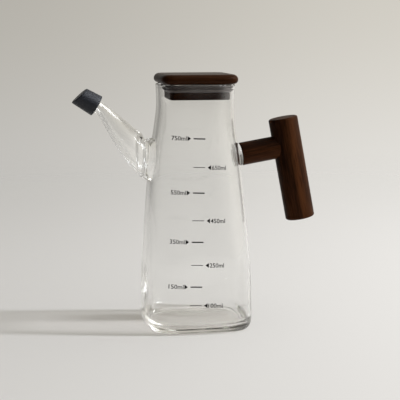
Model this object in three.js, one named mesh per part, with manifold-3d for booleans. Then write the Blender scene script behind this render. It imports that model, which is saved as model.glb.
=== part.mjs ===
// A glass cruet: a square measuring bottle with a pouring spout and its cap, a wooden T-shaped
// handle and a wooden stopper lid with a seal.
// Millimetres, +Z up. The origin is the middle of the base, on the table. +X points to the
// handle, -X to the spout, and -Y is the front of the bottle.
import * as THREE from 'three';
import { mergeVertices } from 'three/addons/utils/BufferGeometryUtils.js';
import Module from 'manifold-3d';

const wasm = await Module();
wasm.setup();

// The clearance between pieces that touch.
const gap = 0.3;

// The bottle's wall: its outer half width at each height, and the glass's thickness.
const footHalfWidth = 38;
const wallOutline = [
  [41.0, 5], [41.15, 18], [40.4, 51], [38.4, 82], [36.0, 112],
  [33.2, 138], [30.4, 156], [28.8, 171], [28.6, 180], [29.3, 191],
];
const rimHeight = 192.2;
const wallThickness = 2.4;
const floorThickness = 4.5;
const floorCornerRadius = 6;
const wallSteps = 16;

// The flat part of each side, from its middle to where the rounded corner starts. A piece's
// corner radius is its half width less this, so that nested pieces keep an even gap.
const flatHalfAtFoot = 25;
const flatHalfAtRim = 17;
const flatSteps = 2;
const cornerSteps = 8;
const stepsPerSide = 2 * flatSteps + cornerSteps;

// The spout, as the top and bottom points (x, z) of its round sections, from inside the bottle
// through the thick ring where it is fused on, to its tip.
const spoutSections = [
  { top: [-23.0, 152.4], bottom: [-25.0, 112.8] },
  { top: [-32.0, 152.4], bottom: [-34.4, 113.2] },
  { top: [-37.0, 150.4], bottom: [-38.8, 115.8] },
  { top: [-41.5, 151.3], bottom: [-43.6, 118.2] },
  { top: [-45.0, 154.4], bottom: [-50.4, 127.2] },
  { top: [-50.0, 158.4], bottom: [-59.0, 137.0] },
  { top: [-58.0, 165.2], bottom: [-67.8, 151.6] },
  { top: [-67.8, 174.0], bottom: [-76.2, 166.8] },
  { top: [-75.2, 179.9], bottom: [-80.5, 171.1] },
  { top: [-83.9, 185.0], bottom: [-89.1, 176.3] },
  { top: [-87.3, 187.1], bottom: [-92.5, 178.4] },
];
const spoutWall = 1.9;
const spoutSteps = 24;
const spoutRings = 20;
const spoutTipRing = 18;

// The cap over the spout's tip: its open end, its closed end and how far that is cut aslant.
const capStart = [-77.85, 175.4];
const capTilt = 31;
const capOpenRadius = 8.55;
const capClosedRadius = 7.75;
const capLength = 15.9;
const capSlant = 16.5;
const capBoreRadius = 5.5;
const capBoreDepth = 11;
const capEdge = 0.7;

// The lid: a plate with round edges over a plug with a groove for the seal.
const totalHeight = 200;
const plateHalfWidth = 30.2;
const plateBottom = 192.6;
const plateTopEdge = 2.6;
const plateUnderEdge = 3.4;
const plugHalfWidth = 23.4;
const plugBottom = 180.4;
const plugEdge = 0.9;
const grooveHalfWidth = 21.5;
const grooveBottom = 186;

// The seal: a ring in the groove with two lips that press on the inside of the rim.
const lipHalfWidth = 26.3;
const sealHalfWidth = 24.9;
const lipHeights = [190.4, 188.2];
const lipThickness = 0.9;

// The handle: a round stem square to the bottle's wall, and a round grip across its end.
const stemStart = [37.95, 135.95];
const stemTilt = 9.6;
const stemRadius = 9.15;
const stemEdge = 0.7;
const gripMiddle = [78.75, 124.0];
const gripLean = 10.7;
const gripLength = 82.5;
const gripRadius = 11.7;
const gripEdge = 1.5;
const woodSteps = 36;
const bossRoot = 28;

const radians = THREE.MathUtils.degToRad;
const point = (x, y) => new THREE.Vector2(x, y);

// Profiles

// A quarter circle or ellipse from one point to another, leaving the first one along Y or X.
function quarter(from, to, steps, startsUpright) {
  const points = [];
  for (let i = 0; i <= steps; i++) {
    const angle = (i / steps) * Math.PI / 2;
    const early = 1 - Math.cos(angle);
    const late = Math.sin(angle);
    const alongX = startsUpright ? early : late;
    const alongY = startsUpright ? late : early;
    points.push(point(from[0] + (to[0] - from[0]) * alongX, from[1] + (to[1] - from[1]) * alongY));
  }
  return points;
}

function wallPoints() {
  const curve = new THREE.SplineCurve(wallOutline.map(([x, y]) => point(x, y)));
  return curve.getSpacedPoints(wallSteps);
}

function bottleOutsideProfile() {
  const wall = wallPoints();
  const last = wall[wall.length - 1];
  return [
    point(0, 0),
    ...quarter([footHalfWidth, 0], [wall[0].x, wall[0].y], 4, false),
    ...wall.slice(1),
    point(last.x - 0.7, rimHeight),
    point(0, rimHeight),
  ];
}

function cavityProfile() {
  const inner = wallPoints().map((p) => point(p.x - wallThickness, p.y));
  const side = inner.filter((p) => p.y > floorThickness + floorCornerRadius);
  const foot = [inner[0].x, floorThickness + floorCornerRadius];
  const mouth = side[side.length - 1];
  return [
    point(0, floorThickness),
    ...quarter([foot[0] - floorCornerRadius, floorThickness], foot, 4, false),
    ...side,
    point(mouth.x + 0.5, rimHeight),
    point(mouth.x + 0.5, totalHeight),
    point(0, totalHeight),
  ];
}

function lidProfile() {
  const underEdge = [plateHalfWidth - plateUnderEdge, plateBottom];
  const sideLow = [plateHalfWidth, plateBottom + plateUnderEdge];
  const sideHigh = [plateHalfWidth, totalHeight - plateTopEdge];
  const topEdge = [plateHalfWidth - plateTopEdge, totalHeight];
  return [
    point(0, plugBottom),
    ...quarter([plugHalfWidth - plugEdge, plugBottom], [plugHalfWidth, plugBottom + plugEdge], 2, false),
    point(plugHalfWidth, grooveBottom),
    point(grooveHalfWidth, grooveBottom),
    point(grooveHalfWidth, plateBottom),
    ...quarter(underEdge, sideLow, 4, false),
    ...quarter(sideHigh, topEdge, 4, true),
    point(0, totalHeight),
  ];
}

function sealProfile() {
  const low = grooveBottom + gap;
  const high = plateBottom - gap;
  const inside = grooveHalfWidth + gap;
  const lips = [...lipHeights].reverse().flatMap((height) => [
    point(sealHalfWidth, height - lipThickness),
    point(lipHalfWidth, height),
    point(sealHalfWidth, height + lipThickness / 2),
  ]);
  return [
    point(inside, low),
    point(sealHalfWidth - 0.6, low),
    ...lips,
    point(sealHalfWidth, high),
    point(inside, high),
    point(inside, low),
  ];
}

function roundedRod(radius, low, high, edge) {
  return [
    point(0, low),
    ...quarter([radius - edge, low], [radius, low + edge], 3, false),
    ...quarter([radius, high - edge], [radius - edge, high], 3, true),
    point(0, high),
  ];
}

// Shapes

function lathe(profile, steps) {
  return new THREE.LatheGeometry(profile, steps).rotateX(Math.PI / 2);
}

function eachVertex(geometry, place) {
  const position = geometry.attributes.position;
  const vertex = new THREE.Vector3();
  for (let i = 0; i < position.count; i++) {
    vertex.fromBufferAttribute(position, i);
    place(vertex);
    position.setXYZ(i, vertex.x, vertex.y, vertex.z);
  }
  return geometry;
}

// The point of a rounded square's outline at a number of steps round it from the middle of a side.
function squarePoint(steps, halfWidth, flatHalf) {
  const side = Math.floor(steps / stepsPerSide);
  const step = steps - side * stepsPerSide;
  const radius = halfWidth - flatHalf;
  const spot = point(halfWidth, flatHalf * Math.min(step / flatSteps, 1));
  if (step > flatSteps && step < stepsPerSide - flatSteps) {
    const angle = ((step - flatSteps) / cornerSteps) * Math.PI / 2;
    spot.set(flatHalf + radius * Math.cos(angle), flatHalf + radius * Math.sin(angle));
  } else if (step >= stepsPerSide - flatSteps) {
    spot.set(flatHalf * (stepsPerSide - step) / flatSteps, halfWidth);
  }
  return spot.rotateAround(point(0, 0), side * Math.PI / 2);
}

// A turned shape made square: each circle becomes a rounded square of the same half width.
function squared(profile, flatHalfAt) {
  const around = 4 * stepsPerSide;
  return eachVertex(lathe(profile, around), (vertex) => {
    const halfWidth = Math.hypot(vertex.x, vertex.y);
    if (halfWidth < 0.001) return;
    const turn = Math.atan2(vertex.y, vertex.x) / (2 * Math.PI);
    const steps = (Math.round(turn * around) + around) % around;
    const spot = squarePoint(steps, halfWidth, flatHalfAt(vertex.z));
    vertex.set(spot.x, spot.y, vertex.z);
  });
}

function flatHalfOfBottle(height) {
  const share = THREE.MathUtils.clamp(height / rimHeight, 0, 1);
  return THREE.MathUtils.lerp(flatHalfAtFoot, flatHalfAtRim, share);
}

function flatHalfOfLid() {
  return flatHalfAtRim;
}

// A round rod laid through the spout's sections, thinner than them all round by an inset.
function spoutRod(rings, inset) {
  const top = new THREE.SplineCurve(spoutSections.map((s) => point(...s.top)));
  const bottom = new THREE.SplineCurve(spoutSections.map((s) => point(...s.bottom)));
  const profile = [point(0, 0)];
  for (let i = 0; i <= rings; i++) profile.push(point(1, i));
  profile.push(point(0, rings));
  return eachVertex(lathe(profile, spoutSteps), (vertex) => {
    const share = THREE.MathUtils.clamp(vertex.z / spoutRings, 0, 1);
    const high = top.getPoint(share);
    const low = bottom.getPoint(share);
    const middle = high.clone().add(low).multiplyScalar(0.5);
    const reach = high.clone().sub(middle);
    reach.setLength(reach.length() - inset);
    const side = reach.length() * vertex.y;
    vertex.set(middle.x + reach.x * vertex.x, side, middle.y + reach.y * vertex.x);
  });
}

// Turns a shape that stands on the origin along +Z to lean towards +X, and moves it to (x, z).
function leaned(geometry, lean, [x, z]) {
  return geometry.rotateY(radians(lean)).translate(x, 0, z);
}

function stemRod(from, to, radius, edge) {
  return leaned(lathe(roundedRod(radius, from, to, edge), woodSteps), 90 - stemTilt, stemStart);
}

function gripRod(radius, edge) {
  const half = gripLength / 2 + radius - gripRadius;
  return leaned(lathe(roundedRod(radius, -half, half, edge), woodSteps), -gripLean, gripMiddle);
}

// Joining and cutting

function solid(geometry) {
  geometry.deleteAttribute('normal');
  geometry.deleteAttribute('uv');
  const merged = mergeVertices(geometry, 1e-4);
  const corners = merged.index.array;
  const triangles = [];
  for (let i = 0; i < corners.length; i += 3) {
    const [a, b, c] = corners.subarray(i, i + 3);
    if (a !== b && b !== c && c !== a) triangles.push(a, b, c);
  }
  return new wasm.Manifold(new wasm.Mesh({
    numProp: 3,
    vertProperties: new Float32Array(merged.attributes.position.array),
    triVerts: new Uint32Array(triangles),
  }));
}

function geometryOf(body) {
  const mesh = body.getMesh();
  const geometry = new THREE.BufferGeometry();
  geometry.setAttribute('position', new THREE.BufferAttribute(mesh.vertProperties, 3));
  geometry.setIndex(new THREE.BufferAttribute(mesh.triVerts, 1));
  geometry.computeVertexNormals();
  return geometry;
}

// Pieces

function glassBody() {
  const boss = stemRod(bossRoot - stemStart[0], 0, stemRadius, 0.6);
  return solid(squared(bottleOutsideProfile(), flatHalfOfBottle))
    .add(solid(spoutRod(spoutTipRing, 0)))
    .add(solid(boss))
    .subtract(solid(squared(cavityProfile(), flatHalfOfBottle)))
    .subtract(solid(spoutRod(spoutRings, spoutWall)));
}

function spoutCap() {
  const outside = lathe([
    point(0, 0),
    point(capOpenRadius - capEdge, 0),
    point(capOpenRadius, capEdge),
    point(capClosedRadius, capLength - capEdge),
    point(capClosedRadius - capEdge, capLength),
    point(0, capLength),
  ], woodSteps);
  const slope = Math.tan(radians(capSlant));
  eachVertex(outside, (vertex) => {
    vertex.z -= (vertex.z / capLength) * vertex.x * slope;
  });
  const bore = lathe([
    point(0, -1),
    point(capBoreRadius, -1),
    point(capBoreRadius, capBoreDepth),
    point(0, capBoreDepth),
  ], spoutSteps);
  return [outside, bore]
    .map((shape) => solid(leaned(shape, capTilt - 90, capStart)))
    .reduce((cap, hole) => cap.subtract(hole));
}

function handleStem() {
  const reach = (gripMiddle[0] - stemStart[0]) / Math.cos(radians(stemTilt));
  const rod = solid(stemRod(gap, reach, stemRadius, stemEdge));
  return rod.subtract(solid(gripRod(gripRadius + gap, gripEdge)));
}

const finishes = {
  glass: { color: 0xe6ebe8, roughness: 0.03, metalness: 0, transparent: true, opacity: 0.3 },
  walnut: { color: 0x3a2418, roughness: 0.6, metalness: 0 },
  seal: { color: 0x8f8d8a, roughness: 0.5, metalness: 0 },
  cap: { color: 0x2a2c33, roughness: 0.55, metalness: 0 },
};

const group = new THREE.Group();

function place(name, body, finish) {
  const mesh = new THREE.Mesh(geometryOf(body), new THREE.MeshStandardMaterial(finishes[finish]));
  mesh.name = name;
  group.add(mesh);
}

place('glass_body', glassBody(), 'glass');
place('spout_cap', spoutCap(), 'cap');
place('lid_wood', solid(squared(lidProfile(), flatHalfOfLid)), 'walnut');
place('lid_seal', solid(squared(sealProfile(), flatHalfOfLid)), 'seal');
place('handle_stem', handleStem(), 'walnut');
place('handle_grip', solid(gripRod(gripRadius, gripEdge)), 'walnut');

export default group;
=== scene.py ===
"""A glass measuring cruet with a fused spout, a walnut T handle and a walnut stopper lid.

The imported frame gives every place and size. Each operator makes one finished piece, and the
panel in the 3D view's sidebar lists them. Lengths named _mm are millimetres.
"""

import math

import bmesh
import bpy
from mathutils import Matrix, Vector


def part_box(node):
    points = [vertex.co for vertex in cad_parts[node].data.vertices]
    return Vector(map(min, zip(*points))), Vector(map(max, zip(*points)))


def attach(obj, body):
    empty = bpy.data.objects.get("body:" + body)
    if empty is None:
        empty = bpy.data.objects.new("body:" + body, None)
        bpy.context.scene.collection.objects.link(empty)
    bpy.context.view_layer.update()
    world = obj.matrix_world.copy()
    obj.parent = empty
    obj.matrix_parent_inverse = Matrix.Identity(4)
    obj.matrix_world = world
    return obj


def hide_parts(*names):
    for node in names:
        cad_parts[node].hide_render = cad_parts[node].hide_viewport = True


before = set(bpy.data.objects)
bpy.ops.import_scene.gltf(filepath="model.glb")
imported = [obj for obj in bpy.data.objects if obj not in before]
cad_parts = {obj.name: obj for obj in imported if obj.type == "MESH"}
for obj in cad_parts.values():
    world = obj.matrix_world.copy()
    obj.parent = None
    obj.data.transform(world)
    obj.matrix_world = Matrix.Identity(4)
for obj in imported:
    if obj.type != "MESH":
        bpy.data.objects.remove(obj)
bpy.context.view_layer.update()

bl_info = {
    "name": "Glass Cruet",
    "version": (1, 0, 0),
    "blender": (4, 5, 0),
    "location": "3D View > Sidebar > Cruet",
    "description": "Makes the finished pieces of a glass cruet round its packed frame",
    "category": "Object",
}

MM = 0.001
BODY = "root"
FLOOR_RADIUS = 2.4
FLOOR_HEIGHT = -0.2 * MM    # a hair under the glass, so that the two faces never meet
WINDOW_AWAY = 2.2
LIGHT_BOUNCES = 96

# The outer half width of the bottle's wall at each height.
WALL_MM = [
    (42.2, 5), (42.3, 18), (41.4, 51), (39.3, 82), (36.8, 112),
    (34.0, 138), (31.3, 156), (29.8, 171), (29.7, 180), (30.3, 191),
]
# How far the blown wall leans towards the spout at each height.
DRIFT_MM = [
    (0.0, 0), (0.1, 51), (0.35, 75), (0.8, 98), (1.1, 120),
    (1.1, 140), (1.05, 156), (0.6, 172), (0.35, 192),
]
# The top and bottom points (x, z) of the spout's round sections, from inside the bottle over
# the two beads of the weld to the tip, and how thick its glass is there.
SPOUT_MM = [
    ((-22.0, 149.6), (-25.0, 115.4), 2.4),
    ((-29.5, 149.8), (-34.0, 115.2), 2.4),
    ((-32.2, 150.0), (-37.2, 115.0), 2.6),
    ((-34.6, 149.8), (-38.4, 115.4), 2.4),
    ((-37.6, 149.4), (-39.8, 116.6), 2.1),
    ((-40.4, 149.0), (-42.6, 118.8), 1.7),
    ((-43.2, 153.9), (-45.6, 120.6), 2.6),
    ((-46.0, 155.9), (-50.0, 126.4), 1.9),
    ((-51.0, 160.0), (-58.4, 136.4), 1.5),
    ((-58.0, 165.9), (-67.8, 151.6), 1.5),
    ((-67.8, 174.2), (-76.2, 166.8), 1.7),
    ((-75.2, 179.9), (-80.5, 171.1), 1.9),
    ((-83.9, 185.0), (-89.1, 176.3), 1.9),
    ((-87.3, 187.1), (-92.5, 178.4), 1.9),
]
TIP_SHARE = 12 / 13
STEM_START_MM = (36.6, 135.7)
STEM_TILT = 9.6
GRIP_MIDDLE_MM = (78.75, 124.0)
GRIP_LEAN = 10.7
CAP_START_MM = (-77.85, 175.4)
CAP_TILT = 31.0

# The printed scale: the volume in millilitres and the height of each row. Every other row is
# a bold line with its number on the left.
SCALE_ROWS_MM = [
    (750, 151.4, True), (650, 129.7, False), (550, 110.2, True), (450, 89.0, False),
    (350, 72.5, True), (250, 54.7, False), (150, 37.8, True), (100, 23.3, False),
]


# Settings


def length(name, description, millimetres):
    return bpy.props.FloatProperty(
        name=name, description=description, default=millimetres * MM, min=0.0, unit="LENGTH", precision=5
    )


def colour(name, description, rgb):
    return bpy.props.FloatVectorProperty(
        name=name, description=description, default=rgb, min=0.0, max=1.0, size=3, subtype="COLOR"
    )


def turn(name, description, degrees):
    return bpy.props.FloatProperty(
        name=name, description=description, default=math.radians(degrees), subtype="ANGLE"
    )


class CruetBottleSettings(bpy.types.PropertyGroup):
    wall: length("Wall", "Thickness of the bottle's glass at the foot", 2.4)
    thin_wall: length("Thin Wall", "Thickness of the bottle's glass in its upper part", 1.35)
    floor: length("Floor", "Thickness of the glass under the inside", 4.5)
    floor_corner: length("Floor Corner", "Radius of the inside corner round the floor", 6.0)
    foot_half: length("Foot", "Half width of the flat that the bottle stands on", 37.3)
    heel: length("Heel", "Height of the rounding between the foot and the wall", 8.0)
    foot_rise: length("Foot Rise", "How far the middle of the base is pushed up", 0.6)
    flat_foot: length("Flat at the Foot", "Half length of each side's flat at the foot", 18.0)
    flat_rim: length("Flat at the Rim", "Half length of each side's flat at the rim", 9.0)
    rim: length("Rim", "Height of the glass rim", 192.2)
    boss_radius: length("Boss", "Radius of the glass boss that the handle is glued to", 9.15)
    glass: colour("Glass", "Tint of the clear glass", (0.985, 0.985, 0.98))
    deep_glass: colour("Deep Glass", "Tint where light runs far inside the glass", (0.78, 0.76, 0.66))


class CruetScaleSettings(bpy.types.PropertyGroup):
    line: length("Line", "Length of a line of the scale", 9.1)
    bold: length("Bold Line", "Thickness of a bold line", 0.95)
    thin: length("Thin Line", "Thickness of a thin line", 0.5)
    arrow: length("Arrow", "Length of an arrow", 2.7)
    arrow_half: length("Arrow Half Height", "Half of an arrow's height", 1.9)
    arrow_reach: length("Arrow Reach", "From a line's middle to the middle of its arrow", 8.4)
    number_height: length("Number Height", "Height of the printed figures", 3.4)
    number_width: length("Number Width", "Width of a printed number with its unit", 11.3)
    number_reach: length("Number Reach", "From a line's middle to the near end of its number", 9.9)
    middle_x: bpy.props.FloatProperty(
        name="Middle", description="X of the print's middle", default=-5.22 * MM, unit="LENGTH", precision=5
    )
    middle_z: length("Middle Height", "Height of the print's middle", 83.6)
    tilt: turn("Tilt", "How far the print leans, clockwise from the front", 2.2)
    ink_depth: length("Ink Depth", "Thickness of the ink", 0.06)
    ink: colour("Ink", "Colour of the print", (0.003, 0.003, 0.003))


class CruetLidSettings(bpy.types.PropertyGroup):
    plate_flat: length("Plate Flat", "Half length of the flat of each of the plate's sides", 20.5)
    top_edge: length("Top Edge", "Height of the plate's upper rounding", 3.9)
    top_across: length("Top Edge Width", "Width of the plate's upper rounding", 4.6)
    under_edge: length("Under Edge", "Height of the plate's lower rounding", 3.1)
    under_across: length("Under Edge Width", "Width of the plate's lower rounding", 3.6)
    plug_half: length("Plug", "Half width of the plug", 23.4)
    groove_half: length("Groove", "Half width of the wood inside the seal", 21.5)
    groove_bottom: length("Groove Bottom", "Height of the groove's lower side", 186.0)
    plug_flat: length("Plug Flat", "Half length of the flat of each of the plug's sides", 19.6)
    flat: length("Seal Flat", "Half length of the flat of each of the seal's sides", 18.0)
    seal: colour("Seal", "Colour of the silicone seal", (0.115, 0.100, 0.096))


class CruetHandleSettings(bpy.types.PropertyGroup):
    stem_radius: length("Stem", "Radius of the stem", 9.15)
    grip_radius: length("Grip", "Radius of the grip", 11.7)
    grip_length: length("Grip Length", "Length of the grip", 82.5)
    grip_edge: length("Grip Edge", "Rounding of the grip's ends", 1.5)
    joint: length("Joint", "Width of the seam between wood and wood or glass", 0.3)
    dark: colour("Dark Grain", "Darkest tone of the walnut", (0.0105, 0.0030, 0.0009))
    light: colour("Light Grain", "Lightest tone of the walnut", (0.085, 0.0293, 0.0098))


class CruetCapSettings(bpy.types.PropertyGroup):
    open_radius: length("Open End", "Radius of the cap's open end", 8.55)
    closed_radius: length("Closed End", "Radius of the cap's closed end", 7.75)
    length: length("Length", "Length of the cap along its axis", 15.9)
    bore_radius: length("Bore", "Radius of the cap's bore", 5.5)
    bore_depth: length("Bore Depth", "Depth of the cap's bore", 11.0)
    slant: turn("Slant", "How far the closed end is cut aslant", 16.5)
    rubber: colour("Rubber", "Colour of the cap's silicone", (0.013, 0.0155, 0.023))


class CruetStudioSettings(bpy.types.PropertyGroup):
    floor: colour("Floor", "Colour of the studio floor", (0.835, 0.83, 0.82))
    camera_yaw: turn("Camera Yaw", "How far the camera stands towards the spout", 10.7)
    camera_pitch: turn("Camera Pitch", "How far the camera looks down", 8.0)
    camera_distance: length("Camera Distance", "From the camera to the bottle's axis", 971.6)
    camera_height: length("Camera Height", "Height of the camera over the floor", 236.2)
    camera_side: length("Camera Side", "How far the camera stands to the right of the axis", 3.7)
    focal: bpy.props.FloatProperty(
        name="Focal Length", description="Focal length in image widths", default=3.078, min=0.5
    )
    key_height: turn("Key Height", "Height of the window over the floor", 44.0)
    key_power: bpy.props.FloatProperty(
        name="Key Power", description="Power of the window's light", default=27.0, min=0.0, unit="POWER"
    )
    key_wide: length("Window Width", "Width of the window", 120.0)
    key_tall: length("Window Height", "Height of the window", 700.0)
    sky: bpy.props.FloatProperty(name="Room Light", description="Strength of the room's light", default=1.0)
    glow: bpy.props.FloatProperty(
        name="Window Glow", description="Strength of the soft light round the window", default=2.4
    )
    pane: bpy.props.FloatProperty(
        name="Window Pane", description="Strength of the window's own reflection", default=8.0
    )


SETTINGS = {
    "cruet_bottle": CruetBottleSettings,
    "cruet_scale": CruetScaleSettings,
    "cruet_lid": CruetLidSettings,
    "cruet_handle": CruetHandleSettings,
    "cruet_cap": CruetCapSettings,
    "cruet_studio": CruetStudioSettings,
}


# Shader values and finishes


class Value:
    """A socket's value that Python's operators work on, each adding a Math node."""

    def __init__(self, finish, socket):
        self.finish = finish
        self.socket = socket

    def maths(self, operation, first, second):
        return self.finish.node("ShaderNodeMath", {"operation": operation}, {0: first, 1: second})

    def __add__(self, other):
        return self.maths("ADD", self, other)

    def __radd__(self, other):
        return self.maths("ADD", other, self)

    def __sub__(self, other):
        return self.maths("SUBTRACT", self, other)

    def __rsub__(self, other):
        return self.maths("SUBTRACT", other, self)

    def __mul__(self, other):
        return self.maths("MULTIPLY", self, other)

    def __rmul__(self, other):
        return self.maths("MULTIPLY", other, self)

    def __truediv__(self, other):
        return self.maths("DIVIDE", self, other)

    def __rtruediv__(self, other):
        return self.maths("DIVIDE", other, self)

    def __pow__(self, other):
        return self.maths("POWER", self, other)

    def __rpow__(self, other):
        return self.maths("POWER", other, self)

    def __neg__(self):
        return self.maths("MULTIPLY", self, -1.0)


class Finish:
    """The node tree of a material, or of the world, built a node at a time."""

    def __init__(self, tree):
        self.tree = tree
        self.tree.nodes.clear()

    def node(self, kind, settings=None, inputs=None, output=0):
        made = self.tree.nodes.new(kind)
        for name, value in (settings or {}).items():
            if name == "stops":
                self.set_stops(made.color_ramp, value)
            elif name == "ramp":
                made.color_ramp.interpolation = value
            else:
                setattr(made, name, value)
        for name, value in (inputs or {}).items():
            if isinstance(value, Value):
                self.tree.links.new(value.socket, made.inputs[name])
            else:
                made.inputs[name].default_value = value
        return Value(self, made.outputs[output]) if made.outputs else None

    def set_stops(self, ramp, stops):
        while len(ramp.elements) < len(stops):
            ramp.elements.new(0.5)
        for element, (position, rgb) in zip(ramp.elements, stops):
            element.position = position
            element.color = (*rgb, 1.0)

    def mix(self, factor, first, second):
        """Colour first at factor 0 and second at 1."""
        return self.node(
            "ShaderNodeMix", {"data_type": "RGBA"}, {0: factor, 6: opaque(first), 7: opaque(second)}, 2
        )

    def smooth(self, value, low, high):
        """0 below low, 1 above high and a soft step between them."""
        return self.node(
            "ShaderNodeMapRange",
            {"interpolation_type": "SMOOTHSTEP"},
            {"Value": value, "From Min": low, "From Max": high},
        )

    def noise(self, vector, scale, detail=3.0, roughness=0.5):
        inputs = {"Vector": vector, "Scale": scale, "Detail": detail, "Roughness": roughness}
        return self.node("ShaderNodeTexNoise", None, inputs)

    def bump(self, height, strength, distance):
        inputs = {"Height": height, "Strength": strength, "Distance": distance}
        return self.node("ShaderNodeBump", None, inputs)

    def towards(self, way, direction):
        """How far a way points along a direction."""
        return self.node("ShaderNodeVectorMath", {"operation": "DOT_PRODUCT"}, {0: way, 1: direction}, 1)

    def place(self, stretch=(1.0, 1.0, 1.0), turned=(0.0, 0.0, 0.0)):
        """Object coordinates, turned and then stretched."""
        spot = self.node("ShaderNodeTexCoord", output=3)
        spun = self.node("ShaderNodeMapping", None, {"Vector": spot, "Rotation": turned})
        return self.node("ShaderNodeMapping", None, {"Vector": spun, "Scale": stretch})

    def surface(self, shader, volume=None):
        inputs = {"Surface": shader}
        if volume:
            inputs["Volume"] = volume
        self.node("ShaderNodeOutputMaterial", None, inputs)


def opaque(value):
    return value if isinstance(value, Value) else (*value, 1.0)


def new_material(name):
    made = bpy.data.materials.new(name)
    made.use_nodes = True
    return made, Finish(made.node_tree)


def glass_finish(tint, deep):
    """Clear blown glass with a faint waviness. Lamps shine through it and less so at its edges."""
    made, finish = new_material("clear_glass")
    spot = finish.place(stretch=(1.0, 1.0, 0.6))
    waves = finish.noise(spot, 24.0, detail=1.0)
    glass = finish.node(
        "ShaderNodeBsdfPrincipled",
        None,
        {
            "Base Color": opaque(tint),
            "Roughness": 0.0,
            "IOR": 1.47,
            "Transmission Weight": 1.0,
            "Normal": finish.bump(waves, 0.03, 0.0006),
        },
    )
    clear = finish.node("ShaderNodeBsdfTransparent", None, {"Color": (0.995, 0.99, 0.985, 1.0)})
    lamp_ray = finish.node("ShaderNodeLightPath", output=1)
    scattered_ray = finish.node("ShaderNodeLightPath", output=2)
    facing = finish.node("ShaderNodeLayerWeight", None, {"Blend": 0.5}, output=1)
    lets_by = lamp_ray * (0.985 - facing ** 3.0 * 0.75) + scattered_ray * 0.97
    depth = finish.node("ShaderNodeVolumeAbsorption", None, {"Color": opaque(deep), "Density": 2.6})
    finish.surface(finish.node("ShaderNodeMixShader", None, {0: lets_by, 1: glass, 2: clear}), depth)
    return made


def walnut_finish(name, settings, turned, gloss=0.34, shine=0.045, painted_shade=1.0):
    """Oiled walnut with its grain along Z after the turn: soft figure, fine fibres, short dark pores. A
    shade factor below 1 darkens the light grain as painted shade.
    """
    made, finish = new_material(name)
    along = finish.place(stretch=(1.0, 1.0, 0.07), turned=turned)
    figure = finish.noise(along, 60.0, detail=2.0)
    bands = finish.noise(along, 190.0, detail=3.0, roughness=0.55)
    fibres = finish.noise(along, 900.0, detail=3.0, roughness=0.6)
    pores = finish.noise(finish.place(stretch=(1.0, 1.0, 0.04), turned=turned), 1700.0, detail=1.0)
    pore = finish.smooth(pores, 0.58, 0.68)
    tone = figure * 0.40 + bands * 0.35 + fibres * 0.25
    # Painted shade: the shade factor scales the light grain down, making a darker copy for a piece that
    # stands in shade.
    light = [c * painted_shade for c in settings.light]
    figured = finish.mix(finish.smooth(tone, 0.34, 0.66), settings.dark, light)
    base = finish.mix(pore * 0.65, figured, settings.dark)
    shader = finish.node(
        "ShaderNodeBsdfPrincipled",
        None,
        {
            "Base Color": base,
            "Roughness": gloss + fibres * 0.10 + pore * 0.14,
            "IOR": 1.45,
            "Specular IOR Level": shine,
            "Normal": finish.bump(fibres - pore * 0.6, 0.3, 0.0003),
        },
    )
    finish.surface(shader)
    return made


def silicone_finish(name, rgb, roughness, clear):
    """Moulded silicone with a fine matt skin, let through by light as far as clear says."""
    made, finish = new_material(name)
    spot = finish.place()
    skin = finish.noise(spot, 2400.0, detail=2.0)
    cloud = finish.noise(spot, 140.0, detail=2.0)
    shader = finish.node(
        "ShaderNodeBsdfPrincipled",
        None,
        {
            "Base Color": finish.mix(cloud, [c * 0.85 for c in rgb], [min(c * 1.2, 1.0) for c in rgb]),
            "Roughness": roughness + cloud * 0.08,
            "IOR": 1.41,
            "Transmission Weight": clear,
            "Sheen Weight": 0.15,
            "Sheen Roughness": 0.4,
            "Normal": finish.bump(skin, 0.12, 0.0002),
        },
    )
    finish.surface(shader)
    return made


def ink_finish(rgb):
    """Baked black ink, a little uneven like a screen print."""
    made, finish = new_material("scale_ink")
    speckle = finish.noise(finish.place(), 3000.0, detail=2.0)
    shader = finish.node(
        "ShaderNodeBsdfPrincipled",
        None,
        {
            "Base Color": finish.mix(speckle, rgb, [c * 2 for c in rgb]),
            "Roughness": 0.55 + speckle * 0.15,
            "Specular IOR Level": 0.2,
        },
    )
    finish.surface(shader)
    return made


# Shapes


def along_curve(points, place):
    """A point on the smooth curve through the points, at a share of them from first to last."""
    spot = min(max(place, 0.0), 1.0) * (len(points) - 1)
    index = min(int(spot), len(points) - 2)
    part = spot - index
    before = points[max(index - 1, 0)]
    start = points[index]
    end = points[index + 1]
    after = points[min(index + 2, len(points) - 1)]
    return [
        b + 0.5 * part * ((c - a) + part * (2 * a - 5 * b + 4 * c - d + part * (3 * (b - c) + d - a)))
        for a, b, c, d in zip(before, start, end, after)
    ]


def quarter(start, end, steps, upright_first):
    """A quarter ellipse between two points that leaves the first along Y, or else along X."""
    made = []
    for i in range(steps + 1):
        angle = math.pi / 2 * i / steps
        early = 1 - math.cos(angle)
        late = math.sin(angle)
        across, up = (early, late) if upright_first else (late, early)
        made.append((start[0] + (end[0] - start[0]) * across, start[1] + (end[1] - start[1]) * up))
    return made


def smooth_profile(points_mm, steps):
    """Pairs of a value and its height, in metres, along the smooth curve through the points."""
    return [[v * MM for v in along_curve(points_mm, i / steps)] for i in range(steps + 1)]


def value_at(profile, height):
    """The value at a height, straight between the profile's pairs."""
    for (low_value, low), (high_value, high) in zip(profile, profile[1:]):
        if height <= high:
            part = min(max((height - low) / (high - low), 0.0), 1.0)
            return low_value + (high_value - low_value) * part
    return profile[-1][0]


def wall_half(height):
    """The outer half width of the bottle's wall at a height."""
    return value_at(smooth_profile(WALL_MM, 120), height)


def drift(height):
    """How far the wall leans towards the spout at a height."""
    return value_at(smooth_profile(DRIFT_MM, 64), height)


def side_flat(settings, height):
    """Half the length of the flat of each of the bottle's sides at a height."""
    part = min(height / settings.rim, 1.0)
    return settings.flat_foot + (settings.flat_rim - settings.flat_foot) * part


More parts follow.
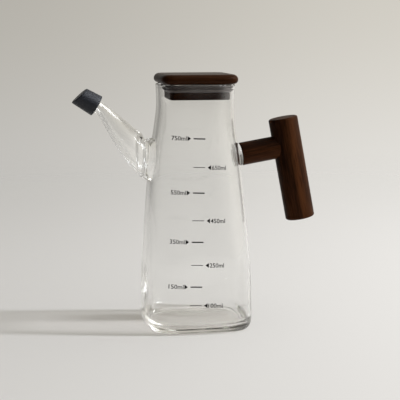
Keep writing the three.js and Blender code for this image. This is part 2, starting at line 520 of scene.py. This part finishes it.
def lean_rings(rings):
    """Moves each level ring by the wall's lean at its height."""
    for points in rings:
        lean = drift(points[0].z)
        for point in points:
            point.x -= lean


def squareness(half, flat):
    """The power of the rounded square whose corners are as full as flats of that half length."""
    corner = half + (math.sqrt(2) - 1) * flat
    return math.log(2) / math.log(math.sqrt(2) * half / corner)


def square_ring(half, height, flat, count=160):
    """Points round a soft rounded square, closer together at its corners."""
    power = squareness(half, flat)
    points = []
    for i in range(count):
        angle = math.tau * i / count
        angle += 0.11 * math.sin(4 * angle)
        across = math.cos(angle)
        deep = math.sin(angle)
        reach = half / (abs(across) ** power + abs(deep) ** power) ** (1 / power)
        points.append(Vector((reach * across, reach * deep, height)))
    return points


def round_ring(radius, height, count=96):
    return [
        Vector((radius * math.cos(math.tau * i / count), radius * math.sin(math.tau * i / count), height))
        for i in range(count)
    ]


def skin(rings, closed=False):
    """Vertices and faces of a surface through the rings: a closed tube, or capped at its ends."""
    count = len(rings[0])
    points = [p for ring in rings for p in ring]
    spans = [(i, i + 1) for i in range(len(rings) - 1)]
    if closed:
        spans.append((len(rings) - 1, 0))
    faces = []
    for low, high in spans:
        for i in range(count):
            j = (i + 1) % count
            faces.append((low * count + i, low * count + j, high * count + j, high * count + i))
    if not closed:
        for start, inward in ((0, True), (len(rings) - 1, False)):
            middle = len(points)
            points.append(sum(rings[start], Vector()) / count)
            for i in range(count):
                j = (i + 1) % count
                near, far = (j, i) if inward else (i, j)
                faces.append((start * count + near, start * count + far, middle))
    return points, faces


def new_piece(name, points, faces, sharp=math.radians(40)):
    """A mesh object at the origin with its faces outwards, smooth but for its sharp edges."""
    mesh = bpy.data.meshes.new(name)
    mesh.from_pydata([tuple(p) for p in points], [], faces)
    mesh.validate()
    shape = bmesh.new()
    shape.from_mesh(mesh)
    bmesh.ops.recalc_face_normals(shape, faces=shape.faces)
    shape.to_mesh(mesh)
    shape.free()
    finish_mesh(mesh, sharp)
    piece = bpy.data.objects.new(name, mesh)
    bpy.context.scene.collection.objects.link(piece)
    return piece


def finish_mesh(mesh, sharp=math.radians(40)):
    for face in mesh.polygons:
        face.use_smooth = True
    mesh.set_sharp_from_angle(angle=sharp)


def combined(piece, others, sharp=math.radians(35)):
    """Joins the others to a piece or cuts them from it, in order, and removes them."""
    for other, operation in others:
        step = piece.modifiers.new(other.name, "BOOLEAN")
        step.object = other
        step.operation = operation
        step.solver = "MANIFOLD"
    evaluated = piece.evaluated_get(bpy.context.evaluated_depsgraph_get())
    mesh = bpy.data.meshes.new_from_object(evaluated)
    mesh.name = piece.name
    piece.modifiers.clear()
    piece.data = mesh
    for other, _ in others:
        bpy.data.objects.remove(other)
    finish_mesh(mesh, sharp)
    return piece


def dress(piece, material, slot, *nodes):
    """Gives a piece its finish and its body, and hides the frame's nodes it stands for. The slot is not
    used.
    """
    if not piece.data.polygons:
        raise RuntimeError(f"{piece.name} came out without faces")
    piece.data.materials.clear()
    piece.data.materials.append(material)
    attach(piece, BODY)
    if nodes:
        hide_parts(*nodes)


def leaned(points, lean, start_mm):
    """Points that stand on the origin along Z, leant towards +X by degrees and moved to (x, z)."""
    spin = Matrix.Rotation(math.radians(lean), 3, "Y")
    base = Vector((start_mm[0] * MM, 0.0, start_mm[1] * MM))
    return [spin @ p + base for p in points]


def rod_profile(radius, low, high, edge, steps=6):
    return [
        *quarter((radius - edge, low), (radius, low + edge), steps, False),
        *quarter((radius, high - edge), (radius - edge, high), steps, True),
    ]


def glass_wall(settings, height):
    """The thickness of the glass at a height, less above the foot."""
    part = min(height / (50 * MM), 1.0)
    return settings.wall + (settings.thin_wall - settings.wall) * part


def bottle_rings(settings):
    """The bottle's outside from the middle of the base, over the rim and down its inside."""
    foot = settings.foot_half
    rim = settings.rim
    heel = settings.heel
    wall = [p for p in smooth_profile(WALL_MM, 90) if p[1] > heel]

    def ring(half, height):
        return square_ring(half, height, side_flat(settings, height))

    def inside_ring(half, height):
        """A ring whose corners keep the radius of the wall's inside."""
        corner = wall[0][0] - settings.wall - side_flat(settings, 0.0)
        return square_ring(half, height, max(half - corner, half * 0.3))

    def disc(half, height, rise, steps=8):
        """Rings of a floor from near its middle out to its edge, raised in the middle."""
        made = []
        for i in range(1, steps):
            part = i / steps
            flat = side_flat(settings, height) * part
            made.append(square_ring(half * part, height + rise * (1 - part * part), flat))
        return made

    outside = [ring(*p) for p in quarter((foot, 0.0), wall[0], 8, False)] + [ring(*p) for p in wall[1:]]
    inner = [(half - glass_wall(settings, height), height) for half, height in wall]
    corner = settings.floor + settings.floor_corner
    inside = [p for p in inner if p[1] > corner + MM]
    outer, top = wall[-1]
    lip_middle = (outer + inner[-1][0]) / 2
    lip_reach = (outer - inner[-1][0]) / 2
    round_over = [
        (lip_middle + lip_reach * math.cos(angle), top + (rim - top) * math.sin(angle))
        for angle in (math.pi * i / 10 for i in range(1, 10))
    ]
    floor_edge = (inside[0][0] - settings.floor_corner, settings.floor)
    rings = disc(foot, 0.0, settings.foot_rise) + outside
    rings += [ring(*p) for p in round_over]
    rings += [ring(*p) for p in reversed(inside)]
    rings += [inside_ring(*p) for p in reversed(quarter(floor_edge, (inside[0][0], corner), 16, False))]
    rings += [inside_ring(floor_edge[0] * i / 8, settings.floor) for i in range(7, 3, -1)]
    rings += [square_ring(floor_edge[0] * i / 8, settings.floor, floor_edge[0] * i / 16) for i in (3, 2, 1)]
    lean_rings(rings)
    return rings


def spout_rings(first, last, steps, bore, count=96):
    """Round rings along the spout between two shares of its length, inside its glass for a bore."""
    tops = [top for top, _, _ in SPOUT_MM]
    bottoms = [bottom for _, bottom, _ in SPOUT_MM]
    walls = [(wall,) for _, _, wall in SPOUT_MM]
    rings = []
    for i in range(steps + 1):
        place = first + (last - first) * i / steps
        top = Vector(along_curve(tops, place)) * MM
        bottom = Vector(along_curve(bottoms, place)) * MM
        middle = (top + bottom) / 2
        reach = (top - bottom) / 2
        radius = reach.length
        if bore:
            radius -= along_curve(walls, place)[0] * MM
        up = Vector((reach.x, 0.0, reach.y)).normalized()
        ring = []
        for j in range(count):
            angle = math.tau * j / count
            spot = Vector((middle.x, 0.0, middle.y)) + up * (radius * math.cos(angle))
            ring.append(spot + Vector((0.0, radius * math.sin(angle), 0.0)))
        rings.append(ring)
    return rings


def front_y(x, height, settings):
    """The Y of the bottle's front face at (x, height)."""
    half = wall_half(height)
    power = squareness(half, side_flat(settings, height))
    return -half * (1 - abs((x + drift(height)) / half) ** power) ** (1 / power)


# Operators


class CRUET_OT_bottle(bpy.types.Operator):
    """Make the glass bottle with its fused spout and the boss for the handle"""

    bl_idname = "cruet.bottle"
    bl_label = "Glass Bottle"

    def execute(self, context):
        settings = context.scene.cruet_bottle
        bottle = new_piece("glass_bottle", *skin(bottle_rings(settings)))
        spout = new_piece("spout_outside", *skin(spout_rings(0.0, TIP_SHARE, 120, False)))
        bore = new_piece("spout_bore", *skin(spout_rings(0.0, 1.0, 130, True)))
        inside_rings = [square_ring(*p) for p in self.inside_profile(settings)]
        lean_rings(inside_rings)
        inside = new_piece("inside", *skin(inside_rings))
        root = 28.0 * MM - STEM_START_MM[0] * MM
        boss_rings = [round_ring(*p) for p in rod_profile(settings.boss_radius, root, 0.0, 0.6 * MM)]
        points, faces = skin(boss_rings)
        boss = new_piece("boss", leaned(points, 90 - STEM_TILT, STEM_START_MM), faces)
        spout = combined(spout, [(boss, "UNION")])
        spout = combined(spout, [(inside, "DIFFERENCE")])
        bottle = combined(bottle, [(spout, "UNION"), (bore, "DIFFERENCE")])
        dress(bottle, glass_finish(settings.glass, settings.deep_glass), "glass", "glass_body")
        return {"FINISHED"}

    def inside_profile(self, settings):
        """The bottle's inside, a hair inside the wall, to trim what passes through it."""
        made = []
        for half, height in smooth_profile(WALL_MM, 90):
            if height > settings.floor + settings.floor_corner:
                trimmed = half - glass_wall(settings, height) + 0.3 * MM
                made.append((trimmed, height, side_flat(settings, height)))
        return made


def marks_tree():
    """A node group that sets a bar on each line's point and a three-sided arrow on each arrow's."""
    tree = bpy.data.node_groups.new("scale_marks", "GeometryNodeTree")
    face = tree.interface
    face.new_socket("Points", in_out="INPUT", socket_type="NodeSocketGeometry")
    for name in ("Line", "Bold", "Thin", "Arrow", "Arrow Half", "Depth"):
        face.new_socket(name, in_out="INPUT", socket_type="NodeSocketFloat")
    face.new_socket("Ink", in_out="INPUT", socket_type="NodeSocketMaterial")
    face.new_socket("Marks", in_out="OUTPUT", socket_type="NodeSocketGeometry")
    link = tree.links.new

    def node(kind, **settings):
        made = tree.nodes.new(kind)
        for name, value in settings.items():
            setattr(made, name, value)
        return made

    def attribute(name):
        made = node("GeometryNodeInputNamedAttribute", data_type="FLOAT")
        made.inputs["Name"].default_value = name
        return made.outputs[0]

    def maths(operation, first, second):
        made = node("ShaderNodeMath", operation=operation)
        for socket, value in zip(made.inputs, (first, second)):
            if isinstance(value, float):
                socket.default_value = value
            else:
                link(value, socket)
        return made.outputs[0]

    def vector(x, y, z):
        made = node("ShaderNodeCombineXYZ")
        for socket, value in zip(made.inputs, (x, y, z)):
            if isinstance(value, float):
                socket.default_value = value
            else:
                link(value, socket)
        return made.outputs[0]

    def instances(mesh, chosen, scale, turned):
        made = node("GeometryNodeInstanceOnPoints")
        link(given.outputs["Points"], made.inputs["Points"])
        link(chosen, made.inputs["Selection"])
        link(mesh, made.inputs["Instance"])
        link(scale, made.inputs["Scale"])
        link(turned, made.inputs["Rotation"])
        return made.outputs[0]

    given = node("NodeGroupInput")
    bold = attribute("bold")
    points_to = attribute("points_to")
    is_line = maths("COMPARE", points_to, 0.0)
    is_arrow = maths("SUBTRACT", 1.0, is_line)
    extra = maths("SUBTRACT", given.outputs["Bold"], given.outputs["Thin"])
    thickness = maths("ADD", given.outputs["Thin"], maths("MULTIPLY", extra, bold))
    bar = node("GeometryNodeMeshCube")
    bars = instances(
        bar.outputs["Mesh"], is_line, vector(given.outputs["Line"], given.outputs["Depth"], thickness),
        vector(0.0, 0.0, 0.0),
    )
    wedge = node("GeometryNodeMeshCylinder")
    wedge.inputs["Vertices"].default_value = 3
    wedge.inputs["Radius"].default_value = 1.0
    wedge.inputs["Depth"].default_value = 1.0
    upright = node("GeometryNodeTransform")
    upright.inputs["Rotation"].default_value = (math.pi / 2, 0.0, 0.0)
    link(wedge.outputs["Mesh"], upright.inputs["Geometry"])
    flat_turn = maths("MULTIPLY", maths("SUBTRACT", 1.0, points_to), math.pi / 2)
    arrow_scale = vector(
        maths("MULTIPLY", given.outputs["Arrow"], 2 / 3),
        given.outputs["Depth"],
        maths("MULTIPLY", given.outputs["Arrow Half"], 2 / math.sqrt(3)),
    )
    arrows = instances(upright.outputs[0], is_arrow, arrow_scale, vector(0.0, flat_turn, 0.0))
    joined = node("GeometryNodeJoinGeometry")
    link(arrows, joined.inputs[0])
    link(bars, joined.inputs[0])
    real = node("GeometryNodeRealizeInstances")
    link(joined.outputs[0], real.inputs[0])
    inked = node("GeometryNodeSetMaterial")
    link(real.outputs[0], inked.inputs["Geometry"])
    link(given.outputs["Ink"], inked.inputs["Material"])
    link(inked.outputs[0], node("NodeGroupOutput").inputs[0])
    return tree


def set_inputs(modifier, values):
    """Gives the node group's inputs their values by their names."""
    for item in modifier.node_group.interface.items_tree:
        if item.in_out == "INPUT" and item.name in values:
            modifier[item.identifier] = values[item.name]


def laid_on_front(mesh, scale, bottle):
    """Turns a print drawn flat round its middle by its tilt and lays it on the bottle's front."""
    spin = Matrix.Rotation(scale.tilt, 3, "Y")
    middle = Vector((scale.middle_x, 0.0, scale.middle_z))
    for vertex in mesh.vertices:
        depth = vertex.co.y
        spot = spin @ Vector((vertex.co.x, 0.0, vertex.co.z)) + middle
        vertex.co = (spot.x, front_y(spot.x, spot.z, bottle) + depth, spot.z)


class CRUET_OT_scale_marks(bpy.types.Operator):
    """Print the scale's lines and arrows on the front of the bottle"""

    bl_idname = "cruet.scale_marks"
    bl_label = "Scale Lines"

    def execute(self, context):
        scale = context.scene.cruet_scale
        spots = []
        bold = []
        points_to = []
        for _, height, is_bold in SCALE_ROWS_MM:
            side = -1.0 if is_bold else 1.0
            z = height * MM - scale.middle_z
            spots += [(0.0, 0.0, z), (side * scale.arrow_reach, 0.0, z)]
            bold += [float(is_bold)] * 2
            points_to += [0.0, -side]
        mesh = bpy.data.meshes.new("scale_points")
        mesh.from_pydata(spots, [], [])
        mesh.attributes.new("bold", "FLOAT", "POINT").data.foreach_set("value", bold)
        mesh.attributes.new("points_to", "FLOAT", "POINT").data.foreach_set("value", points_to)
        piece = bpy.data.objects.new("scale_lines", mesh)
        context.scene.collection.objects.link(piece)
        step = piece.modifiers.new("scale_marks", "NODES")
        step.node_group = marks_tree()
        ink = ink_finish(scale.ink)
        set_inputs(step, {
            "Line": scale.line, "Bold": scale.bold, "Thin": scale.thin, "Arrow": scale.arrow,
            "Arrow Half": scale.arrow_half, "Depth": scale.ink_depth, "Ink": ink,
        })
        evaluated = piece.evaluated_get(context.evaluated_depsgraph_get())
        made = bpy.data.meshes.new_from_object(evaluated)
        made.name = "scale_lines"
        piece.modifiers.clear()
        piece.data = made
        laid_on_front(made, scale, context.scene.cruet_bottle)
        dress(piece, ink, "scale_print")
        return {"FINISHED"}


class CRUET_OT_scale_numbers(bpy.types.Operator):
    """Print the scale's numbers beside its arrows"""

    bl_idname = "cruet.scale_numbers"
    bl_label = "Scale Numbers"

    def execute(self, context):
        scale = context.scene.cruet_scale
        shape = bmesh.new()
        for volume, height, is_bold in SCALE_ROWS_MM:
            mesh = self.number(context, f"{volume}ml", scale)
            shift = -scale.number_reach - scale.number_width if is_bold else scale.number_reach
            mesh.transform(Matrix.Translation((shift, 0.0, height * MM - scale.middle_z)))
            shape.from_mesh(mesh)
            bpy.data.meshes.remove(mesh)
        bmesh.ops.remove_doubles(shape, verts=shape.verts, dist=0.002 * MM)
        bmesh.ops.recalc_face_normals(shape, faces=shape.faces)
        mesh = bpy.data.meshes.new("scale_numbers")
        shape.to_mesh(mesh)
        shape.free()
        laid_on_front(mesh, scale, context.scene.cruet_bottle)
        piece = bpy.data.objects.new("scale_numbers", mesh)
        context.scene.collection.objects.link(piece)
        dress(piece, bpy.data.materials["scale_ink"], "scale_print")
        return {"FINISHED"}

    def number(self, context, text, scale):
        """The text as a mesh that stands upright from X = 0, as wide and high as the print."""
        letters = bpy.data.curves.new(text, "FONT")
        letters.body = text
        letters.resolution_u = 3
        letters.extrude = 0.5
        letters.offset = 0.012
        holder = bpy.data.objects.new(text, letters)
        context.scene.collection.objects.link(holder)
        mesh = bpy.data.meshes.new_from_object(holder.evaluated_get(context.evaluated_depsgraph_get()))
        bpy.data.objects.remove(holder)
        left = min(v.co.x for v in mesh.vertices)
        right = max(v.co.x for v in mesh.vertices)
        low = min(v.co.y for v in mesh.vertices)
        high = max(v.co.y for v in mesh.vertices)
        wide = scale.number_width / (right - left)
        tall = scale.number_height / (high - low)
        for vertex in mesh.vertices:
            x, y, z = vertex.co
            vertex.co = ((x - left) * wide, -z * scale.ink_depth, (y - (low + high) / 2) * tall)
        return mesh


class CRUET_OT_lid(bpy.types.Operator):
    """Make the walnut lid, a plate with round edges over a plug"""

    bl_idname = "cruet.lid"
    bl_label = "Lid"

    def execute(self, context):
        settings = context.scene.cruet_lid
        low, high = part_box("lid_wood")
        seal_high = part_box("lid_seal")[1].z
        under = seal_high + context.scene.cruet_handle.joint
        plate = high.x
        profile = quarter(
            (settings.plug_half - 0.9 * MM, low.z), (settings.plug_half, low.z + 0.9 * MM), 4, False
        )
        profile += [(settings.plug_half, settings.groove_bottom - 0.4 * MM)]
        profile += [(settings.plug_half - 0.4 * MM, settings.groove_bottom)]
        profile += [(settings.groove_half, settings.groove_bottom), (settings.groove_half, under)]
        profile += quarter(
            (plate - settings.under_across, under), (plate, under + settings.under_edge), 8, False
        )
        profile += quarter(
            (plate, high.z - settings.top_edge), (plate - settings.top_across, high.z), 10, True
        )
        last = profile[-1]
        rings = []
        for half, height in profile:
            in_plate = height >= under and half > settings.plug_half
            flat = settings.plate_flat if in_plate else settings.plug_flat
            rings.append(square_ring(half, height, flat))
        rings += [square_ring(last[0] * s, high.z, settings.plate_flat * s) for s in (0.9, 0.6, 0.3)]
        piece = new_piece("lid_plate_and_plug", *skin(rings))
        turned = (0.0, math.pi / 2, 0.0)
        wood = context.scene.cruet_handle
        # Painted shade: the lid's walnut is a darker copy, standing in for the shade on its front face.
        grain = walnut_finish("walnut_lid", wood, turned, gloss=0.24, shine=0.04, painted_shade=0.49)
        dress(piece, grain, "walnut", "lid_wood")
        return {"FINISHED"}


class CRUET_OT_seal(bpy.types.Operator):
    """Make the lid's silicone seal with its two lips"""

    bl_idname = "cruet.seal"
    bl_label = "Lid Seal"

    def execute(self, context):
        settings = context.scene.cruet_lid
        low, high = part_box("lid_seal")
        lip = high.x
        ring_half = lip - 1.4 * MM
        inner = settings.groove_half + context.scene.cruet_handle.joint
        profile = [(inner, low.z), (ring_half - 0.6 * MM, low.z), (ring_half - 0.2 * MM, low.z + 0.3 * MM)]
        for height in (188.2 * MM, 190.4 * MM):
            profile += [
                (ring_half, height - 0.9 * MM),
                (lip - 0.25 * MM, height - 0.25 * MM),
                (lip, height),
                (lip - 0.25 * MM, height + 0.2 * MM),
                (ring_half, height + 0.45 * MM),
            ]
        profile += [(ring_half, high.z), (inner, high.z)]
        rings = [square_ring(half, height, settings.flat) for half, height in profile]
        piece = new_piece("lid_seal_ring", *skin(rings, closed=True))
        silicone = silicone_finish("seal_silicone", settings.seal, 0.30, 0.12)
        dress(piece, silicone, "seal_silicone", "lid_seal")
        return {"FINISHED"}


class CRUET_OT_handle(bpy.types.Operator):
    """Make the walnut stem and the grip across its end"""

    bl_idname = "cruet.handle"
    bl_label = "Handle"

    def execute(self, context):
        settings = context.scene.cruet_handle
        self.make_grip(settings)
        self.make_stem(settings)
        return {"FINISHED"}

    def make_grip(self, settings):
        half = settings.grip_length / 2
        profile = rod_profile(settings.grip_radius, -half, half, settings.grip_edge)
        points, faces = skin([round_ring(*p) for p in profile])
        piece = new_piece("handle_grip_rod", leaned(points, -GRIP_LEAN, GRIP_MIDDLE_MM), faces)
        turned = (0.0, math.radians(GRIP_LEAN), 0.0)
        dress(piece, walnut_finish("walnut_grip", settings, turned), "walnut", "handle_grip")

    def make_stem(self, settings):
        """The stem ends in a saddle that fits round the grip."""
        count = 96
        start = settings.joint
        edge = 0.7 * MM
        axis = Matrix.Rotation(math.radians(90 - STEM_TILT), 3, "Y")
        along = axis @ Vector((0.0, 0.0, 1.0))
        root = Vector((STEM_START_MM[0] * MM, 0.0, STEM_START_MM[1] * MM))
        grip = Vector((GRIP_MIDDLE_MM[0] * MM, 0.0, GRIP_MIDDLE_MM[1] * MM))
        lean = Matrix.Rotation(math.radians(-GRIP_LEAN), 3, "Y") @ Vector((0.0, 0.0, 1.0))
        saddle = settings.grip_radius + settings.joint

        def reach(spot):
            """How far a line along the stem runs from a spot to the grip's saddle."""
            across = along - lean * along.dot(lean)
            offset = (spot - grip) - lean * (spot - grip).dot(lean)
            a = across.length_squared
            b = across.dot(offset)
            c = offset.length_squared - saddle * saddle
            return (-b - math.sqrt(max(b * b - a * c, 0.0))) / a

        def lines(radius):
            return [axis @ p + root for p in round_ring(radius, 0.0, count)]

        rings = [[p + along * h for p in lines(r)] for r, h in quarter(
            (settings.stem_radius - edge, start), (settings.stem_radius, start + edge), 5, False)]
        sides = lines(settings.stem_radius)
        for part in (0.25, 0.5, 0.75, 1.0):
            rings.append([p + along * (start + edge + (reach(p) - start - edge) * part) for p in sides])
        for radius in (0.8, 0.5, 0.2):
            rings.append([p + along * reach(p) for p in lines(settings.stem_radius * radius)])
        piece = new_piece("handle_stem_rod", *skin(rings))
        turned = (0.0, math.radians(STEM_TILT - 90), 0.0)
        dress(piece, walnut_finish("walnut_stem", settings, turned), "walnut", "handle_stem")


class CRUET_OT_cap(bpy.types.Operator):
    """Make the silicone cap on the spout's tip, its closed end cut aslant"""

    bl_idname = "cruet.cap"
    bl_label = "Spout Cap"

    def execute(self, context):
        settings = context.scene.cruet_cap
        far = settings.length
        edge = 0.9 * MM
        slope = math.tan(settings.slant)
        outside = [(settings.bore_radius, 0.0), (settings.open_radius - 0.5 * MM, 0.0)]
        outside += quarter(
            (settings.open_radius - 0.5 * MM, 0.0), (settings.open_radius, 0.5 * MM), 3, False
        )[1:]
        for part in (0.25, 0.5, 0.75):
            radius = settings.open_radius + (settings.closed_radius - settings.open_radius) * part
            outside.append((radius, far * part))
        rounding = (settings.closed_radius, far - edge), (settings.closed_radius - edge, far)
        outside += quarter(*rounding, 6, True)
        outside += [(settings.closed_radius * s, far) for s in (0.6, 0.2)]
        bore = [(settings.bore_radius * s, settings.bore_depth) for s in (0.3, 1.0)]
        rings = [round_ring(radius, height) for radius, height in bore + outside]
        for ring in rings[2:]:
            for point in ring:
                point.z -= point.z / far * point.x * slope
        points, faces = skin(rings)
        piece = new_piece("spout_cap_cup", leaned(points, CAP_TILT - 90, CAP_START_MM), faces)
        silicone = silicone_finish("cap_silicone", settings.rubber, 0.48, 0.0)
        dress(piece, silicone, "cap_silicone", "spout_cap")
        return {"FINISHED"}


class CRUET_OT_stage(bpy.types.Operator):
    """Set up the pale floor, the soft light and the camera"""

    bl_idname = "cruet.stage"
    bl_label = "Studio"

    def execute(self, context):
        settings = context.scene.cruet_studio
        context.scene.view_settings.view_transform = "Standard"
        paths = context.scene.cycles
        paths.max_bounces = LIGHT_BOUNCES
        paths.glossy_bounces = LIGHT_BOUNCES
        paths.transmission_bounces = LIGHT_BOUNCES
        paths.transparent_max_bounces = 24
        self.make_floor(settings)
        self.make_sky(context, settings)
        self.make_key(settings)
        self.make_camera(context, settings)
        return {"FINISHED"}

    def to_frame(self, settings, spot):
        """A place given with the camera's own right and forward, turned into the frame's axes."""
        return Matrix.Rotation(-settings.camera_yaw, 3, "Z") @ Vector(spot)

    def make_floor(self, settings):
        count = 128
        edge = round_ring(FLOOR_RADIUS, FLOOR_HEIGHT, count)
        mesh = bpy.data.meshes.new("studio_floor")
        mesh.from_pydata([tuple(p) for p in edge], [], [tuple(range(count))])
        floor = bpy.data.objects.new("studio_floor", mesh)
        bpy.context.scene.collection.objects.link(floor)
        made, finish = new_material("studio_paper")
        spot = finish.node("ShaderNodeTexCoord", output=3)
        away = finish.node("ShaderNodeVectorMath", {"operation": "LENGTH"}, {0: spot}, 1)
        fade = finish.smooth(away, 0.22, 1.5)
        right = self.to_frame(settings, (1.0, 0.0, 0.0))
        # Painted shade: the paper's colour darkens towards the camera's left, away from the window, where
        # less light falls.
        floor_in_painted_shade = [c * 0.83 for c in settings.floor]
        painted_shade = finish.mix(finish.smooth(finish.towards(spot, right), -0.3, 0.3), floor_in_painted_shade, settings.floor)
        paper = finish.node(
            "ShaderNodeBsdfPrincipled",
            None,
            {"Base Color": painted_shade, "Roughness": 0.8, "Specular IOR Level": 0.0},
        )
        clear = finish.node("ShaderNodeBsdfTransparent")
        finish.surface(finish.node("ShaderNodeMixShader", None, {0: fade, 1: paper, 2: clear}))
        mesh.materials.append(made)

    def make_sky(self, context, settings):
        """A warm grey room, brighter towards the window on the right and lower down."""
        world = bpy.data.worlds.new("studio_room")
        world.use_nodes = True
        context.scene.world = world
        finish = Finish(world.node_tree)
        way = finish.node("ShaderNodeTexCoord")
        right = self.to_frame(settings, (1.0, 0.0, 0.0))
        ahead = self.to_frame(settings, (0.0, 1.0, 0.0))
        sideways = finish.towards(way, right)
        forward = finish.towards(way, ahead)
        rise = finish.node("ShaderNodeSeparateXYZ", None, {0: way}, 2)
        room = finish.node(
            "ShaderNodeValToRGB",
            {"ramp": "B_SPLINE", "stops": [
                (0.0, (0.66, 0.65, 0.63)),
                (0.44, (0.68, 0.665, 0.635)),
                (0.50, (0.545, 0.52, 0.465)),
                (0.56, (0.52, 0.50, 0.45)),
                (0.70, (0.40, 0.385, 0.35)),
                (1.0, (0.34, 0.33, 0.31)),
            ]},
            {0: rise * 0.5 + 0.5},
        )
        window = self.to_frame(settings, (0.72, -0.15, 0.68))
        across = finish.smooth(sideways, -0.24, 0.24) * 0.38 + 0.81
        left_wall = finish.smooth(-sideways, 0.17, 0.48) * 0.72
        over_floor = finish.smooth(rise, -0.45, -0.15)
        behind_camera = finish.smooth(-forward, 0.10, 0.70) * over_floor
        glow = finish.smooth(finish.towards(way, window), 0.40, 0.95) * settings.glow
        level = across * (1.0 - left_wall) * (1.0 - behind_camera * 0.95) + glow
        pane = self.pane(finish, sideways, forward, rise)
        inputs = {
            "Color": finish.mix(pane, room, (0.93, 0.96, 1.0)),
            "Strength": level * settings.sky + pane * settings.pane,
        }
        background = finish.node("ShaderNodeBackground", None, inputs)
        finish.node("ShaderNodeOutputWorld", None, {"Surface": background})

    def pane(self, finish, sideways, forward, rise):
        """1 where a glossy ray meets the window, an upright pane in the wall on the right."""
        along = forward / sideways
        height = rise / sideways
        wide = finish.smooth(along, -0.92, -0.82) * (1.0 - finish.smooth(along, 0.08, 0.18))
        tall = finish.smooth(height, 0.42, 0.52) * (1.0 - finish.smooth(height, 1.12, 1.20))
        gloss = finish.node("ShaderNodeLightPath", output=3)
        return wide * tall * gloss * finish.smooth(sideways, 0.04, 0.10)

    def make_key(self, settings):
        lamp = bpy.data.lights.new("window_light", "AREA")
        lamp.shape = "RECTANGLE"
        lamp.size = settings.key_wide
        lamp.size_y = settings.key_tall
        lamp.energy = settings.key_power
        lamp.color = (0.95, 0.96, 1.0)
        key = bpy.data.objects.new("window_light", lamp)
        bpy.context.scene.collection.objects.link(key)
        out = WINDOW_AWAY * math.cos(settings.key_height)
        spot = (out, -0.03, WINDOW_AWAY * math.sin(settings.key_height))
        key.location = self.to_frame(settings, spot)
        key.rotation_euler = (Vector((0.0, 0.0, 0.08)) - key.location).to_track_quat("-Z", "Y").to_euler()
        key.visible_glossy = False
        key.visible_transmission = False

    def make_camera(self, context, settings):
        lens = bpy.data.cameras.new("photo_camera")
        lens.sensor_width = 36.0
        lens.lens = settings.focal * lens.sensor_width
        camera = bpy.data.objects.new("photo_camera", lens)
        bpy.context.scene.collection.objects.link(camera)
        spot = (settings.camera_side, -settings.camera_distance, settings.camera_height)
        camera.location = self.to_frame(settings, spot)
        pitch = settings.camera_pitch
        forward = self.to_frame(settings, (0.0, math.cos(pitch), -math.sin(pitch)))
        camera.rotation_euler = forward.to_track_quat("-Z", "Y").to_euler()
        context.scene.camera = camera


class CRUET_PT_panel(bpy.types.Panel):
    """The cruet's pieces and their sizes"""

    bl_idname = "CRUET_PT_panel"
    bl_label = "Glass Cruet"
    bl_space_type = "VIEW_3D"
    bl_region_type = "UI"
    bl_category = "Cruet"

    def draw(self, context):
        for operator in OPERATORS:
            self.layout.operator(operator.bl_idname)
        for name, group in SETTINGS.items():
            box = self.layout.box()
            for field in group.__annotations__:
                box.prop(getattr(context.scene, name), field)


OPERATORS = (
    CRUET_OT_stage,
    CRUET_OT_bottle,
    CRUET_OT_scale_marks,
    CRUET_OT_scale_numbers,
    CRUET_OT_lid,
    CRUET_OT_seal,
    CRUET_OT_handle,
    CRUET_OT_cap,
)
CLASSES = (*SETTINGS.values(), *OPERATORS, CRUET_PT_panel)


def register():
    for item in CLASSES:
        bpy.utils.register_class(item)
    for name, group in SETTINGS.items():
        setattr(bpy.types.Scene, name, bpy.props.PointerProperty(type=group))


def unregister():
    for name in SETTINGS:
        delattr(bpy.types.Scene, name)
    for item in reversed(CLASSES):
        bpy.utils.unregister_class(item)


def main():
    register()
    for operator in OPERATORS:
        family, action = operator.bl_idname.split(".")
        getattr(getattr(bpy.ops, family), action)()


if __name__ == "__main__":
    main()
